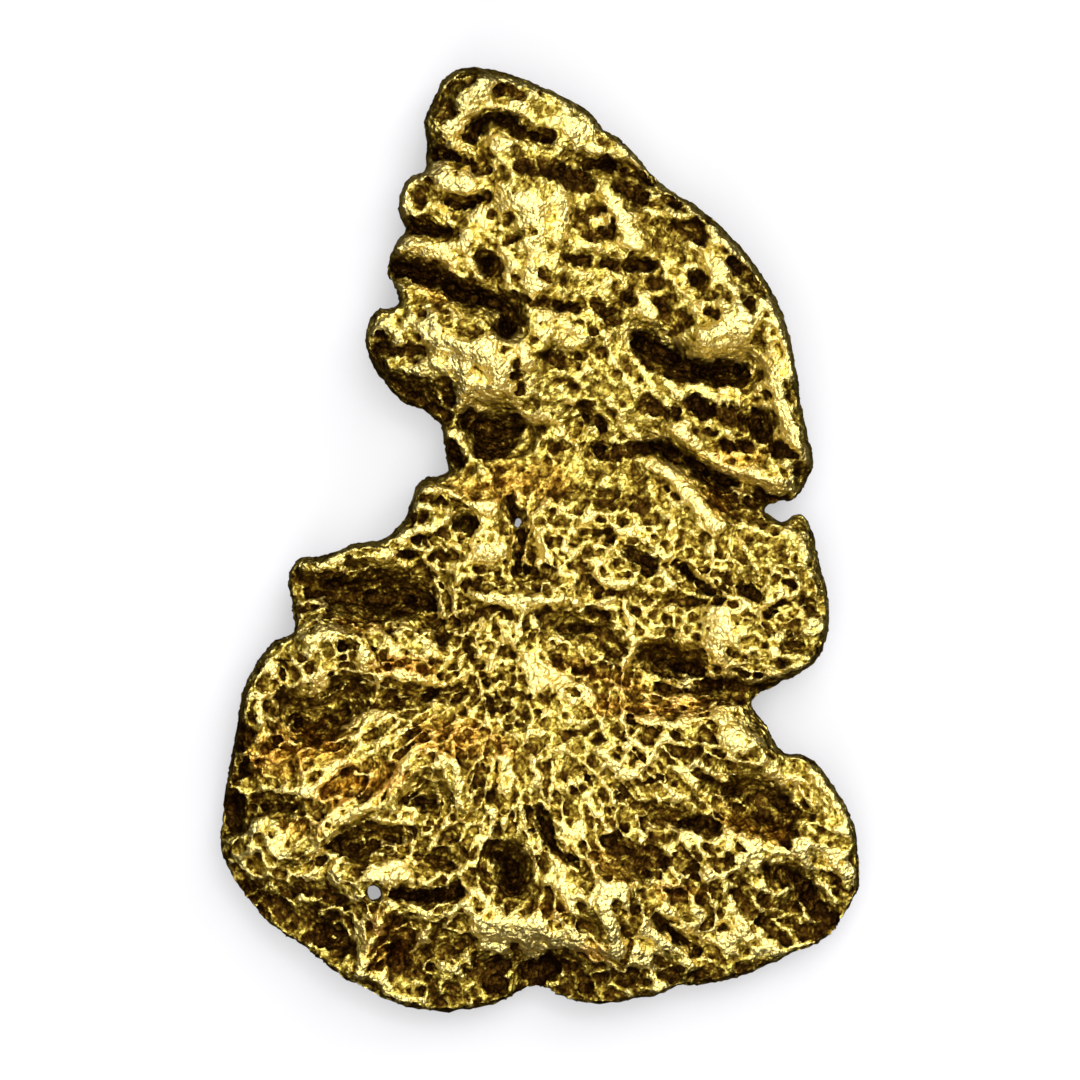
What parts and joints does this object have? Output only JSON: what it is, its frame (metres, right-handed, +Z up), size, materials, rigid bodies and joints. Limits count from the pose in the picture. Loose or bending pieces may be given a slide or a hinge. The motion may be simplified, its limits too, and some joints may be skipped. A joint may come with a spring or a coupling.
{
  "type": "gold nugget",
  "caption": "Flat, rugged nugget of native gold with a pointed crown, a notched middle and a broad foot, lying on its flatter side.",
  "frame": {"origin": "under the middle of the nugget's bounding box, on the surface it rests on", "axes": "+Z up out of the surface the nugget rests on, through its rugged upper side; +Y along its longest extent, towards the pointed crown"},
  "size_m": [0.016, 0.0236, 0.003],
  "materials": {
    "native_gold": "native gold, half polished by wear on its high places and dull brown in its hollows"
  },
  "bodies": {
    "root": {"nugget": "native_gold"}
  },
  "joints": []
}
